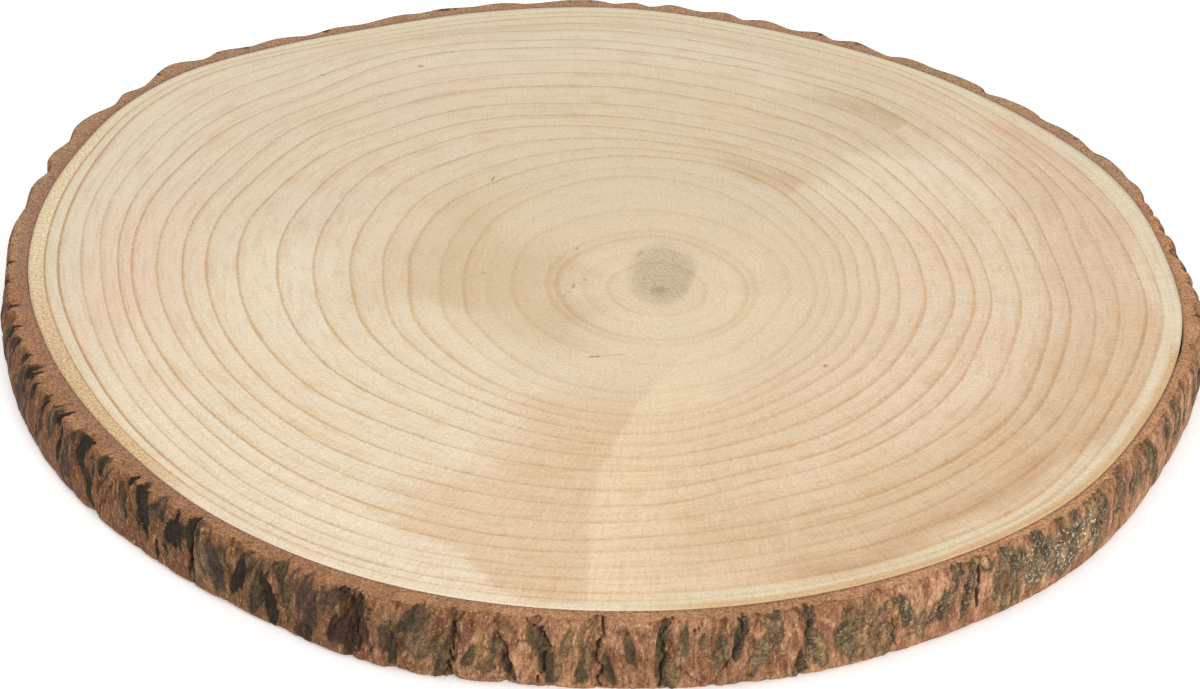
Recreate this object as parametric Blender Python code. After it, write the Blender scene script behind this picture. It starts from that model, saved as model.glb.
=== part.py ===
"""A slice cut across a tree trunk: a flat wooden disc inside its own ring of bark.

Metres, +Z up. The slice lies on its underside at z = 0, with the origin at the middle of its
outline. Angles are degrees from +X towards +Y, and heights are measured from the underside.
"""
import math
import random

import bmesh
import bpy
import numpy as np

MM = 0.001

# Driving dimensions
THICKNESS = 20 * MM
RING_GAP = 0.3 * MM
COLUMNS = 360

# The wood's edge, where it meets the bark: (degrees, radius in mm)
WOOD_OUTLINE = [
    (0, 167.0), (18, 166.7), (32, 163.5), (45, 161.9), (62, 160.9), (72, 162.0),
    (88, 166.2), (104, 166.0), (120, 166.5), (130, 170.5), (141, 175.7), (150, 175.0),
    (160, 171.0), (172, 167.2), (187, 163.0), (200, 159.6), (220, 158.5), (235, 161.6),
    (252, 165.1), (275, 167.3), (300, 169.0), (315, 170.1), (330, 168.5), (350, 168.5),
]

# The bark's thickness at its upper and lower edges: (degrees, mm)
BARK_THICKNESS = [
    (0, 5.4), (10, 4.4), (25, 5.2), (40, 5.2), (60, 5.4), (72, 5.9), (85, 4.9),
    (100, 5.4), (118, 5.0), (128, 5.2), (136, 6.0), (141, 7.2), (147, 5.2), (160, 5.9),
    (172, 4.9), (187, 7.2), (200, 8.7), (215, 8.8), (230, 6.3), (240, 5.4), (252, 7.0),
    (266, 5.0), (285, 5.4), (300, 4.5), (320, 4.1), (336, 4.4), (350, 6.3),
]

# How far the bark's wall stands inside its fullest line: (height, inset), both in mm
WALL_PROFILE = [
    (0.0, 1.2), (1.0, 0.3), (4.5, 0.0), (8.5, 0.0), (12.5, 0.0), (16.0, 0.1), (18.6, 0.4), (20.0, 1.4),
]

# Fissures between the bark's plates: (degrees at mid height, depth in mm at the top and at the
# bottom, lean in degrees from bottom to top)
FISSURES = [
    (1.5, 1.7, 1.2, 1.0), (6.8, 0.9, 1.2, -0.5), (12.0, 1.0, 0.6, 0.6), (17.5, 0.6, 1.0, 0.8),
    (23.5, 1.4, 0.9, -0.6), (32.0, 1.1, 0.8, 0.4), (39.8, 2.0, 1.4, 0.0), (47.8, 0.9, 1.1, 0.9),
    (54.0, 2.3, 1.2, -0.7), (61.3, 2.2, 1.3, 0.5), (66.3, 1.5, 0.8, 1.1), (72.5, 2.4, 1.5, 0.4),
    (77.8, 1.6, 1.0, -0.6), (83.8, 2.2, 1.2, 0.3), (88.5, 1.6, 1.3, 0.9), (98.3, 1.6, 1.0, 1.2),
    (105.0, 1.1, 1.2, -0.4), (111.5, 0.6, 1.0, 0.6), (118.0, 1.4, 0.8, 0.6), (125.3, 2.4, 1.4, 0.5),
    (131.8, 2.0, 1.1, -0.8), (137.3, 2.4, 1.5, 0.3), (145.0, 1.6, 0.9, 0.7), (150.5, 1.7, 1.3, 0.9),
    (158.5, 2.2, 1.4, -0.4), (164.5, 2.3, 1.0, 0.6), (172.3, 1.7, 1.1, 1.0), (180.8, 0.9, 0.9, 0.4),
    (186.0, 0.8, 0.6, 0.9), (190.5, 0.9, 1.0, 1.0), (194.0, 1.0, 0.9, 1.4), (199.5, 1.2, 0.6, 1.6),
    (204.0, 1.0, 0.5, 1.5), (208.0, 1.2, 0.4, 1.4), (212.0, 1.0, 0.5, 1.5), (216.0, 1.2, 0.5, 1.2),
    (220.5, 0.7, 1.4, 2.6), (226.0, 1.0, 0.5, -1.4), (229.2, 0.8, 0.7, 0.8), (233.7, 1.5, 0.5, 0.6),
    (238.3, 1.0, 0.6, 1.2), (244.0, 0.6, 1.0, 0.3), (250.7, 1.7, 1.9, 0.9), (254.5, 0.7, 1.2, -0.5),
    (259.2, 1.7, 1.5, 0.6), (263.3, 1.2, 1.0, -1.3), (266.6, 1.5, 1.0, -1.0), (271.0, 1.5, 0.9, -0.4),
    (276.3, 1.5, 0.8, 0.5), (280.7, 0.5, 1.1, 0.5), (283.2, 0.8, 0.5, 0.8), (287.6, 1.2, 1.1, 0.7),
    (294.6, 0.6, 1.5, -0.9), (298.5, 0.7, 0.5, 1.3), (303.7, 1.7, 0.5, 0.8), (307.2, 1.0, 0.4, 0.6),
    (313.0, 0.8, 0.3, -0.6), (318.4, 1.0, 0.4, -0.8), (323.5, 0.8, 0.4, 0.8), (329.0, 1.0, 0.5, -1.0),
    (334.0, 0.9, 0.5, 0.7), (339.0, 0.9, 0.7, -0.5), (344.3, 1.7, 1.0, 0.4), (350.8, 0.9, 0.9, 0.8),
    (356.5, 1.0, 0.6, -0.6),
]
SHOULDER = 4.2 * MM
PLATE_CROWN = 0.45 * MM

# Gentle swells over the wall: their number, size, and fewest and most round the slice
SWELL_COUNT = 9
SWELL_SIZE = 0.16 * MM
SWELL_FEWEST = 14
SWELL_MOST = 95
SWELL_TWIST = 140.0
SEED = 11

WOOD_COLOUR = (0.79, 0.62, 0.42, 1.0)
BARK_COLOUR = (0.26, 0.13, 0.07, 1.0)


def clear_scene():
    """Remove whatever the file opened with."""
    for thing in list(bpy.data.objects):
        bpy.data.objects.remove(thing, do_unlink=True)


def around(knots, degrees):
    """Smooth closed curve through (degrees, value) knots: a cubic between each two, whose slope at a
    knot is that of the line through its two neighbours."""
    angle = np.array([knot[0] for knot in knots], dtype=float)
    value = np.array([knot[1] for knot in knots], dtype=float)
    angle = np.concatenate([angle[-2:] - 360, angle, angle[:3] + 360])
    value = np.concatenate([value[-2:], value, value[:3]])
    slope = np.gradient(value, angle)
    left = np.searchsorted(angle, degrees, side="right") - 1
    span = angle[left + 1] - angle[left]
    t = (degrees - angle[left]) / span
    rise = value[left + 1] - value[left]
    start = slope[left] * span
    end = slope[left + 1] * span
    return value[left] + t * start + t * t * (3 * rise - 2 * start - end) + t ** 3 * (start + end - 2 * rise)


def swells(degrees, height):
    """Sum of slow waves round the slice, each leaning its own way and each a whole number of waves."""
    rng = random.Random(SEED)
    total = np.zeros_like(degrees)
    for _ in range(SWELL_COUNT):
        waves = rng.randint(SWELL_FEWEST, SWELL_MOST)
        phase = rng.uniform(0, 2 * math.pi)
        twist = rng.uniform(-SWELL_TWIST, SWELL_TWIST)
        total += SWELL_SIZE * np.sin(np.radians(degrees) * waves + phase + twist * height)
    return total


def fissures(degrees, height, radius):
    """Depth cut away at each point of a level: every fissure is a sharp groove whose shoulders are
    quarter rounds, and every plate between two fissures is crowned like half a wave."""
    share = height / THICKNESS
    lines = np.array([angle + lean * (share - 0.5) for angle, _, _, lean in FISSURES])
    depths = np.array([low + (high - low) * share for _, high, low, _ in FISSURES]) * MM
    lines = np.concatenate([lines[-1:] - 360, lines, lines[:1] + 360])
    depths = np.concatenate([depths[-1:], depths, depths[:1]])
    left = np.clip(np.searchsorted(lines, degrees, side="right") - 1, 0, len(lines) - 2)
    cut = np.zeros_like(degrees)
    for side in (left, left + 1):
        away = np.minimum(np.abs(degrees - lines[side]) * np.radians(1) * radius / SHOULDER, 1.0)
        cut += depths[side] * (1 - np.sqrt(1 - (1 - away) ** 2))
    across = (degrees - lines[left]) / (lines[left + 1] - lines[left])
    return cut - PLATE_CROWN * np.sin(np.pi * across)


def level_ring(height, degrees, radii):
    """Corners of one level of a ring."""
    turn = np.radians(degrees)
    return np.stack([radii * np.cos(turn), radii * np.sin(turn), np.full_like(radii, height)], axis=1)


def join_loops(mesh, lower, upper):
    """A belt of four-sided faces between two loops with as many corners."""
    for k in range(len(lower)):
        mesh.faces.new((lower[k - 1], lower[k], upper[k], upper[k - 1]))


def finish_object(name, mesh, colour, roughness):
    """Turn the bmesh into a shaded object with its own material."""
    bmesh.ops.recalc_face_normals(mesh, faces=mesh.faces)
    bmesh.ops.triangulate(mesh, faces=mesh.faces)
    data = bpy.data.meshes.new(name)
    mesh.to_mesh(data)
    mesh.free()
    data.shade_smooth()
    data.set_sharp_from_angle(angle=math.radians(35))
    thing = bpy.data.objects.new(name, data)
    bpy.context.collection.objects.link(thing)
    material = bpy.data.materials.new(name)
    material.use_nodes = True
    shader = material.node_tree.nodes["Principled BSDF"]
    shader.inputs["Base Color"].default_value = colour
    shader.inputs["Roughness"].default_value = roughness
    shader.inputs["Metallic"].default_value = 0.0
    data.materials.append(material)
    return thing


def make_wood(degrees, wood_radius):
    """The disc: its outline filled, then drawn up by the thickness."""
    mesh = bmesh.new()
    corners = level_ring(0.0, degrees, wood_radius)
    base = mesh.faces.new([mesh.verts.new(corner) for corner in corners])
    drawn = bmesh.ops.extrude_face_region(mesh, geom=[base])
    raised = [item for item in drawn["geom"] if isinstance(item, bmesh.types.BMVert)]
    bmesh.ops.translate(mesh, vec=(0, 0, THICKNESS), verts=raised)
    return finish_object("wood", mesh, WOOD_COLOUR, 0.6)


def make_bark(degrees, wood_radius):
    """The ring: level loops up its fissured wall and down its plain inner face, joined in turn."""
    inner = wood_radius + RING_GAP
    fullest = wood_radius + around(BARK_THICKNESS, degrees) * MM + WALL_PROFILE[0][1] * MM
    levels = []
    for height, inset in WALL_PROFILE:
        relief = swells(degrees, height * MM) - fissures(degrees, height * MM, wood_radius)
        levels.append(level_ring(height * MM, degrees, fullest - inset * MM + relief))
    levels.append(level_ring(THICKNESS, degrees, inner))
    levels.append(level_ring(0.0, degrees, inner))
    mesh = bmesh.new()
    loops = [[mesh.verts.new(corner) for corner in level] for level in levels]
    for k in range(len(loops)):
        join_loops(mesh, loops[k - 1], loops[k])
    return finish_object("bark", mesh, BARK_COLOUR, 0.85)


def main():
    clear_scene()
    degrees = np.arange(COLUMNS) * 360 / COLUMNS
    wood_radius = around(WOOD_OUTLINE, degrees) * MM
    make_wood(degrees, wood_radius)
    make_bark(degrees, wood_radius)


main()
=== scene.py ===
"""The looks of a wood slice: its sawn face with growth rings, and the fissured bark round it.

Metres, +Z up, with the underside at z = 0. Angles are degrees from +X towards +Y. A turn is the
direction seen from the pith, and an angle is the direction seen from the origin. A share is how
much of its way from the pith to the bark a point of the face has gone.
"""
import math
from types import SimpleNamespace

import bpy
import numpy as np
from mathutils import Matrix, Vector


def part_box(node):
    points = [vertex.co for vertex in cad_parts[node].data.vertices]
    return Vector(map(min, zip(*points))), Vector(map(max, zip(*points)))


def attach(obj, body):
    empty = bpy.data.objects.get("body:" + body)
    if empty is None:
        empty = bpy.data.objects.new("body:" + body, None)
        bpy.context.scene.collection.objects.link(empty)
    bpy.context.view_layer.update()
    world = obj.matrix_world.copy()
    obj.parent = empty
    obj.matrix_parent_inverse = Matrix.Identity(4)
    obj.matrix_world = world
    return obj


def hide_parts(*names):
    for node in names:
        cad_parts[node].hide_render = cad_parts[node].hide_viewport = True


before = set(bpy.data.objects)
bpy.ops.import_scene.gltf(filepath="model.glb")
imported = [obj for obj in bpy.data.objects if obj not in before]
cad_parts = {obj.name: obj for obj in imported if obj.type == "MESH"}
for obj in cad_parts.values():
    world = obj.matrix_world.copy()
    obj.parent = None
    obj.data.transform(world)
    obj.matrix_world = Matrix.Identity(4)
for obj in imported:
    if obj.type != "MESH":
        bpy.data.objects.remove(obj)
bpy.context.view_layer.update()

MM = 0.001

# The slice's thickness, in metres and in mm
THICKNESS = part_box("wood")[1][2]
TALL = THICKNESS / MM

# The wood's edge, where it meets the bark: (degrees, radius in mm)
WOOD_OUTLINE = [
    (0, 167.0), (18, 166.7), (32, 163.5), (45, 161.9), (62, 160.9), (72, 162.0),
    (88, 166.2), (104, 166.0), (120, 166.5), (130, 170.5), (141, 175.7), (150, 175.0),
    (160, 171.0), (172, 167.2), (187, 163.0), (200, 159.6), (220, 158.5), (235, 161.6),
    (252, 165.1), (275, 167.3), (300, 169.0), (315, 170.1), (330, 168.5), (350, 168.5),
]

# The bark's thickness at its upper and lower edges: (degrees, mm)
BARK_THICKNESS = [
    (0, 5.4), (10, 4.4), (25, 5.2), (40, 5.2), (60, 5.4), (72, 5.9), (85, 4.9),
    (100, 5.4), (118, 5.0), (128, 5.2), (136, 6.0), (141, 7.2), (147, 5.2), (160, 5.9),
    (172, 4.9), (187, 7.2), (200, 8.7), (215, 8.8), (230, 6.3), (240, 5.4), (252, 7.0),
    (266, 5.0), (285, 5.4), (300, 4.5), (320, 4.1), (336, 4.4), (350, 6.3),
]

# How far the bark's wall stands inside its fullest line: (height, inset), both in mm
WALL_PROFILE = [(0.0, 1.2), (1.0, 0.3), (4.5, 0.0), (12.5, 0.0), (16.0, 0.1), (18.6, 0.4), (20.0, 1.4)]

# Fissures between the bark's plates: (degrees at mid height, depth in mm at the top and at the
# bottom, lean in degrees from bottom to top)
FISSURES = [
    (1.5, 1.7, 1.2, 1.0), (6.8, 0.9, 1.2, -0.5), (12.0, 1.0, 0.6, 0.6), (17.5, 0.6, 1.0, 0.8),
    (23.5, 1.4, 0.9, -0.6), (32.0, 1.1, 0.8, 0.4), (39.8, 2.0, 1.4, 0.0), (47.8, 0.9, 1.1, 0.9),
    (54.0, 2.3, 1.2, -0.7), (61.3, 2.2, 1.3, 0.5), (66.3, 1.5, 0.8, 1.1), (72.5, 2.4, 1.5, 0.4),
    (77.8, 1.6, 1.0, -0.6), (83.8, 2.2, 1.2, 0.3), (88.5, 1.6, 1.3, 0.9), (98.3, 1.6, 1.0, 1.2),
    (105.0, 1.1, 1.2, -0.4), (111.5, 0.6, 1.0, 0.6), (118.0, 1.4, 0.8, 0.6), (125.3, 2.4, 1.4, 0.5),
    (131.8, 2.0, 1.1, -0.8), (137.3, 2.4, 1.5, 0.3), (145.0, 1.6, 0.9, 0.7), (150.5, 1.7, 1.3, 0.9),
    (158.5, 2.2, 1.4, -0.4), (164.5, 2.3, 1.0, 0.6), (172.3, 1.7, 1.1, 1.0), (180.8, 0.9, 0.9, 0.4),
    (186.0, 0.8, 0.6, 0.9), (190.5, 0.9, 1.0, 1.0), (194.0, 1.0, 0.9, 1.4), (199.5, 1.2, 0.6, 1.6),
    (204.0, 1.0, 0.5, 1.5), (208.0, 1.2, 0.4, 1.4), (212.0, 1.0, 0.5, 1.5), (216.0, 1.2, 0.5, 1.2),
    (220.5, 0.7, 1.4, 2.6), (226.0, 1.0, 0.5, -1.4), (229.2, 0.8, 0.7, 0.8), (233.7, 1.5, 0.5, 0.6),
    (238.3, 1.0, 0.6, 1.2), (244.0, 0.6, 1.0, 0.3), (250.7, 1.7, 1.9, 0.9), (254.5, 0.7, 1.2, -0.5),
    (259.2, 1.7, 1.5, 0.6), (263.3, 1.2, 1.0, -1.3), (266.6, 1.5, 1.0, -1.0), (271.0, 1.5, 0.9, -0.4),
    (276.3, 1.5, 0.8, 0.5), (280.7, 0.5, 1.1, 0.5), (283.2, 0.8, 0.5, 0.8), (287.6, 1.2, 1.1, 0.7),
    (294.6, 0.6, 1.5, -0.9), (298.5, 0.7, 0.5, 1.3), (303.7, 1.7, 0.5, 0.8), (307.2, 1.0, 0.4, 0.6),
    (313.0, 0.8, 0.3, -0.6), (318.4, 1.0, 0.4, -0.8), (323.5, 0.8, 0.4, 0.8), (329.0, 1.0, 0.5, -1.0),
    (334.0, 0.9, 0.5, 0.7), (339.0, 0.9, 0.7, -0.5), (344.3, 1.7, 1.0, 0.4), (350.8, 0.9, 0.9, 0.8),
    (356.5, 1.0, 0.6, -0.6),
]
SHOULDER = 4.2
PLATE_CROWN = 0.45

# The pith, and the radius in mm of the round shape that the first rings have
PITH = (18.75, -20.5)
ROUND_RADIUS = 165.0
ROUND_FADE = 0.22

# Growth rings that the others are spaced between: ring number, then its share of the way from
# the pith to the bark in every direction, 15 degrees apart from turn 0 on
KEY_RINGS = {
    0: [0.0] * 24,
    4: [.163, .161, .160, .160, .163, .172, .175, .172, .169, .166, .167, .171,
        .172, .171, .172, .172, .172, .173, .173, .174, .172, .170, .168, .164],
    6: [.241, .246, .249, .253, .256, .258, .258, .258, .256, .247, .243, .240,
        .243, .248, .250, .250, .248, .255, .262, .262, .250, .236, .232, .231],
    8: [.294, .294, .300, .315, .335, .358, .366, .365, .352, .330, .316, .313,
        .318, .332, .337, .346, .355, .356, .352, .338, .322, .306, .297, .292],
    10: [.351, .358, .371, .391, .425, .444, .437, .433, .424, .406, .401, .402,
         .403, .420, .424, .426, .427, .430, .428, .405, .376, .361, .359, .352],
    13: [.457, .461, .474, .495, .518, .528, .523, .546, .570, .556, .548, .549,
         .551, .557, .551, .526, .519, .525, .524, .498, .476, .466, .466, .459],
    15: [.563, .560, .558, .578, .605, .606, .608, .628, .656, .642, .647, .668,
         .670, .674, .666, .635, .618, .610, .602, .585, .580, .563, .556, .556],
    17: [.635, .632, .632, .664, .702, .717, .723, .743, .759, .742, .730, .752,
         .757, .759, .758, .745, .724, .716, .705, .667, .663, .650, .645, .632],
    19: [.749, .741, .750, .786, .820, .824, .823, .843, .865, .812, .820, .836,
         .837, .838, .839, .835, .828, .820, .797, .786, .782, .778, .777, .756],
    21: [.834, .829, .858, .880, .900, .897, .900, .912, .935, .905, .894, .897,
         .884, .893, .903, .909, .905, .895, .880, .873, .866, .850, .857, .843],
    23: [.935, .925, .915, .935, .961, .962, .964, .961, .963, .971, .966, .957,
         .953, .953, .963, .963, .962, .957, .954, .952, .956, .952, .932, .928],
    25: [1.0] * 24,
}
KEY_STEP = 15

# Where each ring between two key rings lies, as a part of the way from the lower to the upper
BETWEEN = {
    1: 0.28, 2: 0.52, 3: 0.75, 5: 0.22, 7: 0.5, 9: 0.42, 11: 0.27, 12: 0.61,
    14: 0.475, 16: 0.57, 18: 0.5, 20: 0.43, 22: 0.46, 24: 0.45,
}

# How dark each ring's line is, from the pith outwards
RING_STRENGTH = [
    0.0, 0.15, 0.4, 0.2, 0.55, 0.4, 0.3, 0.12, 0.45, 0.35, 0.65, 0.6, 0.75,
    0.7, 0.9, 0.85, 0.85, 0.85, 0.75, 0.85, 0.9, 0.6, 0.6, 0.9, 0.8, 0.0,
]


def smooth_step(low, high, value):
    """0 below low, 1 above high, and a smooth S between them."""
    t = np.clip((value - low) / (high - low), 0.0, 1.0)
    return t * t * (3 - 2 * t)


def around(knots, degrees):
    """Smooth closed curve through (degrees, value) knots: a cubic between each two, whose slope at a
    knot is that of the line through its two neighbours."""
    angle = np.array([knot[0] for knot in knots], dtype=float)
    value = np.array([knot[1] for knot in knots], dtype=float)
    angle = np.concatenate([angle[-2:] - 360, angle, angle[:3] + 360])
    value = np.concatenate([value[-2:], value, value[:3]])
    slope = np.gradient(value, angle)
    left = np.searchsorted(angle, degrees, side="right") - 1
    span = angle[left + 1] - angle[left]
    t = (degrees - angle[left]) / span
    rise = value[left + 1] - value[left]
    start = slope[left] * span
    end = slope[left + 1] * span
    return value[left] + t * start + t * t * (3 * rise - 2 * start - end) + t ** 3 * (start + end - 2 * rise)


def lattice_noise(across, along, columns, rows, seed):
    """Random heights on a lattice, from -1 to 1, with smooth steps between them. The lattice closes
    on itself across (0 to 1) and runs along from 0 to 1."""
    heights = np.random.default_rng(seed).uniform(-1, 1, (rows + 2, columns))
    u = (across % 1.0) * columns
    v = np.clip(along, 0.0, 1.0) * rows
    column = np.floor(u).astype(int)
    row = np.floor(v).astype(int)
    part_u = u - column
    part_v = v - row
    part_u = part_u * part_u * (3 - 2 * part_u)
    part_v = part_v * part_v * (3 - 2 * part_v)
    here = column % columns
    beyond = (column + 1) % columns
    low = heights[row, here] * (1 - part_u) + heights[row, beyond] * part_u
    high = heights[row + 1, here] * (1 - part_u) + heights[row + 1, beyond] * part_u
    return low * (1 - part_v) + high * part_v


def rough_noise(across, along, columns, rows, octaves, seed):
    """Lattice noise with finer and fainter noise added on it, each twice as fine and half as strong."""
    total = 0.0
    for k in range(octaves):
        total = total + lattice_noise(across, along, columns << k, rows << k, seed + k) / (1 << k)
    return total


def flakes(across, along, columns, rows, seed):
    """Points scattered on a lattice that closes on itself across, one in each of its cells. For each
    place: the number from -1 to 1 drawn for the nearest point, and how much further off the second
    nearest is, in cells."""
    rng = np.random.default_rng(seed)
    shape = (rows + 3, columns)
    jitter_u = rng.uniform(0.1, 0.9, shape)
    jitter_v = rng.uniform(0.1, 0.9, shape)
    draw = rng.uniform(-1, 1, shape)
    u = (across % 1.0) * columns
    v = np.clip(along, 0.0, 1.0) * rows + 1
    own_column = np.floor(u).astype(int)
    own_row = np.floor(v).astype(int)
    first = np.full(u.shape, 9.0)
    second = np.full(u.shape, 9.0)
    chosen = np.zeros(u.shape)
    for aside in (-1, 0, 1):
        for onward in (-1, 0, 1):
            column = (own_column + aside) % columns
            row = own_row + onward
            away = np.hypot(own_column + aside + jitter_u[row, column] - u, row + jitter_v[row, column] - v)
            nearer = away < first
            second = np.where(nearer, first, np.minimum(second, away))
            chosen = np.where(nearer, draw[row, column], chosen)
            first = np.minimum(first, away)
    return chosen, second - first


class Signal:
    """A node's output. Python's own signs work on it, and each adds the Math node that does it."""

    def __init__(self, finish, socket):
        self.finish = finish
        self.socket = socket

    def maths(self, operation, *terms):
        return self.finish.node("ShaderNodeMath", {"operation": operation}, dict(enumerate(terms)))

    def __add__(self, other):
        return self.maths("ADD", self, other)

    def __sub__(self, other):
        return self.maths("SUBTRACT", self, other)

    def __rsub__(self, other):
        return self.maths("SUBTRACT", other, self)

    def __mul__(self, other):
        return self.maths("MULTIPLY", self, other)

    def __truediv__(self, other):
        return self.maths("DIVIDE", self, other)

    def __pow__(self, other):
        return self.maths("POWER", self, other)

    def largest(self, other):
        return self.maths("MAXIMUM", self, other)

    def smallest(self, other):
        return self.maths("MINIMUM", self, other)

    def unsigned(self):
        return self.maths("ABSOLUTE", self)

    def fraction(self):
        return self.maths("FRACT", self)

    __radd__ = __add__
    __rmul__ = __mul__


class Finish:
    """A material under construction, built on one Principled shader."""

    def __init__(self, name):
        self.material = bpy.data.materials.new(name)
        self.material.use_nodes = True
        self.tree = self.material.node_tree
        self.shader = self.tree.nodes["Principled BSDF"]

    def node(self, kind, settings=None, values=None, output=0):
        """A node of a kind: its settings first, then the values or links of its sockets."""
        made = self.tree.nodes.new(kind)
        for key, value in (settings or {}).items():
            setattr(made, key, value)
        for key, value in (values or {}).items():
            if isinstance(value, Signal):
                self.tree.links.new(value.socket, made.inputs[key])
            else:
                made.inputs[key].default_value = value
        return Signal(self, made.outputs[output])

    def place(self):
        """The point's own place in metres."""
        return self.node("ShaderNodeTexCoord", output="Object")

    def parts(self, vector):
        """A vector's three numbers."""
        first = self.node("ShaderNodeSeparateXYZ", values={0: vector})
        outputs = first.socket.node.outputs
        return [Signal(self, outputs[k]) for k in range(3)]

    def vector(self, x, y, z):
        return self.node("ShaderNodeCombineXYZ", values={0: x, 1: y, 2: z})

    def scaled(self, vector, x, y, z):
        """A vector with each of its numbers multiplied."""
        return self.node("ShaderNodeVectorMath", {"operation": "MULTIPLY"}, {0: vector, 1: (x, y, z)})

    def attribute(self, name):
        return self.node("ShaderNodeAttribute", {"attribute_name": name}, output="Fac")

    def colour_attribute(self, name):
        return self.node("ShaderNodeAttribute", {"attribute_name": name}, output="Color")

    def noise(self, vector, scale, detail, roughness, distortion=0.0):
        """Cloudy noise from 0 to 1."""
        values = {"Vector": vector, "Scale": scale, "Detail": detail}
        values.update({"Roughness": roughness, "Distortion": distortion})
        return self.node("ShaderNodeTexNoise", values=values)

    def step(self, value, low, high):
        """0 at low and 1 at high, with a smooth S between them. Low may be the larger number."""
        values = {"Value": value, "From Min": low, "From Max": high, "To Min": 0.0, "To Max": 1.0}
        if low > high:
            values.update({"From Min": high, "From Max": low, "To Min": 1.0, "To Max": 0.0})
        return self.node("ShaderNodeMapRange", {"interpolation_type": "SMOOTHSTEP"}, values)

    def mixed(self, amount, first, second, blend="MIX"):
        """Two colours mixed by an amount from 0 to 1."""
        settings = {"data_type": "RGBA", "blend_type": blend}
        return self.node("ShaderNodeMix", settings, {0: amount, 6: first, 7: second}, output=2)

    def filtered(self, amount, colour, shares):
        """A colour with its red, green and blue multiplied by shares, by an amount from 0 to 1."""
        return self.mixed(amount, colour, (*shares, 1.0), "MULTIPLY")

    def toned(self, colour, amount):
        """A colour with its brightness multiplied."""
        return self.node("ShaderNodeVectorMath", {"operation": "SCALE"}, {0: colour, "Scale": amount})

    def bump(self, height, distance, strength):
        """Normals tilted as if the surface rose by height times distance."""
        values = {"Height": height, "Distance": distance, "Strength": strength}
        return self.node("ShaderNodeBump", values=values)

    def wear(self, **sockets):
        """Set the shader's sockets by name, with _ for a space."""
        for name, value in sockets.items():
            target = self.shader.inputs[name.replace("_", " ")]
            if isinstance(value, Signal):
                self.tree.links.new(value.socket, target)
            else:
                target.default_value = value
        return self.material


def light_of(tint):
    """Screen colours from 0 to 255 as the light that they stand for, with a fourth number of 1."""
    parts = np.clip(tint / 255, 0, 1)
    light = np.where(parts <= 0.04045, parts / 12.92, ((parts + 0.055) / 1.055) ** 2.4)
    return np.concatenate([light, np.ones(light.shape[:-1] + (1,))], axis=-1)


def paint(tint):
    """One screen colour as light, for a socket."""
    return tuple(light_of(np.array(tint)).tolist())


def blended(first, second, amount):
    """One colour turned towards another, by an amount that varies from place to place."""
    first = np.asarray(first, dtype=float)
    return first + (np.asarray(second, dtype=float) - first) * amount[..., None]


def closed_skin(name, points, attributes, corner_map, poles=False):
    """A mesh over rows of points. Each row is a closed loop, and the rows follow each other. The last
    also meets the first, unless there are poles: then these two rows each close to a point.
    corner_map gives the unwrapped place of a face's corners from the face's row and column and how
    far each corner is on from them, 0 or 1 each way."""
    rows, columns = points.shape[:2]
    belts = rows - 1 if poles else rows
    belt = np.repeat(np.arange(belts), columns).reshape(-1, 1)
    column = np.tile(np.arange(columns), belts).reshape(-1, 1)
    up = np.array([[0, 0, 1, 1]])
    along = np.array([[0, 1, 1, 0]])
    loops = (((belt + up) % rows) * columns + (column + along) % columns).reshape(-1)
    places = corner_map(belt, column, up, along).reshape(-1, 2)
    sizes = np.full(belts * columns, 4)
    verts = points.reshape(-1, 3)
    values = {key: np.asarray(value).reshape(rows * columns, -1) for key, value in attributes.items()}
    if poles:
        column = np.arange(columns).reshape(-1, 1)
        for row, belt, up, along in ((0, 0, 0, [[1, 0]]), (rows - 1, rows - 2, 1, [[0, 1]])):
            ring = slice(row * columns, (row + 1) * columns)
            verts = np.concatenate([verts, verts[ring].mean(axis=0, keepdims=True)])
            for key, value in values.items():
                values[key] = np.concatenate([value, value[ring].mean(axis=0, keepdims=True)])
            along = np.array(along)
            rim = corner_map(np.full((columns, 1), belt), column, np.full((1, 2), up), along)
            hub = np.broadcast_to(rim.reshape(-1, 2).mean(axis=0), (columns, 1, 2))
            fan = np.concatenate([row * columns + (column + along) % columns,
                                  np.full((columns, 1), len(verts) - 1)], axis=1)
            loops = np.concatenate([loops, fan.reshape(-1)])
            sizes = np.concatenate([sizes, np.full(columns, 3)])
            places = np.concatenate([places, np.concatenate([rim, hub], axis=1).reshape(-1, 2)])
    mesh = bpy.data.meshes.new(name)
    mesh.vertices.add(len(verts))
    mesh.vertices.foreach_set("co", verts.astype(np.float32).ravel())
    mesh.loops.add(len(loops))
    mesh.loops.foreach_set("vertex_index", loops.astype(np.int32))
    mesh.polygons.add(len(sizes))
    mesh.polygons.foreach_set("loop_start", (np.cumsum(sizes) - sizes).astype(np.int32))
    mesh.update(calc_edges=True)
    for key, value in values.items():
        if value.shape[1] == 1:
            layer = mesh.attributes.new(key, "FLOAT", "POINT")
            layer.data.foreach_set("value", value.astype(np.float32).ravel())
        else:
            layer = mesh.attributes.new(key, "FLOAT_COLOR", "POINT")
            layer.data.foreach_set("color", value.astype(np.float32).ravel())
    unwrapped = mesh.uv_layers.new(name="OFBake")
    unwrapped.data.foreach_set("uv", places.astype(np.float32).ravel())
    mesh.shade_smooth()
    piece = bpy.data.objects.new(name, mesh)
    bpy.context.collection.objects.link(piece)
    return piece


def edge_from_pith(turn):
    """The wood's radius seen from the pith: its outline from the origin, moved and looked up again."""
    angle = np.arange(0, 360, 0.05)
    radius = around(WOOD_OUTLINE, angle)
    x = radius * np.cos(np.radians(angle)) - PITH[0]
    y = radius * np.sin(np.radians(angle)) - PITH[1]
    seen = np.degrees(np.arctan2(y, x)) % 360
    return np.interp(turn, seen, np.hypot(x, y), period=360)


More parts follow.
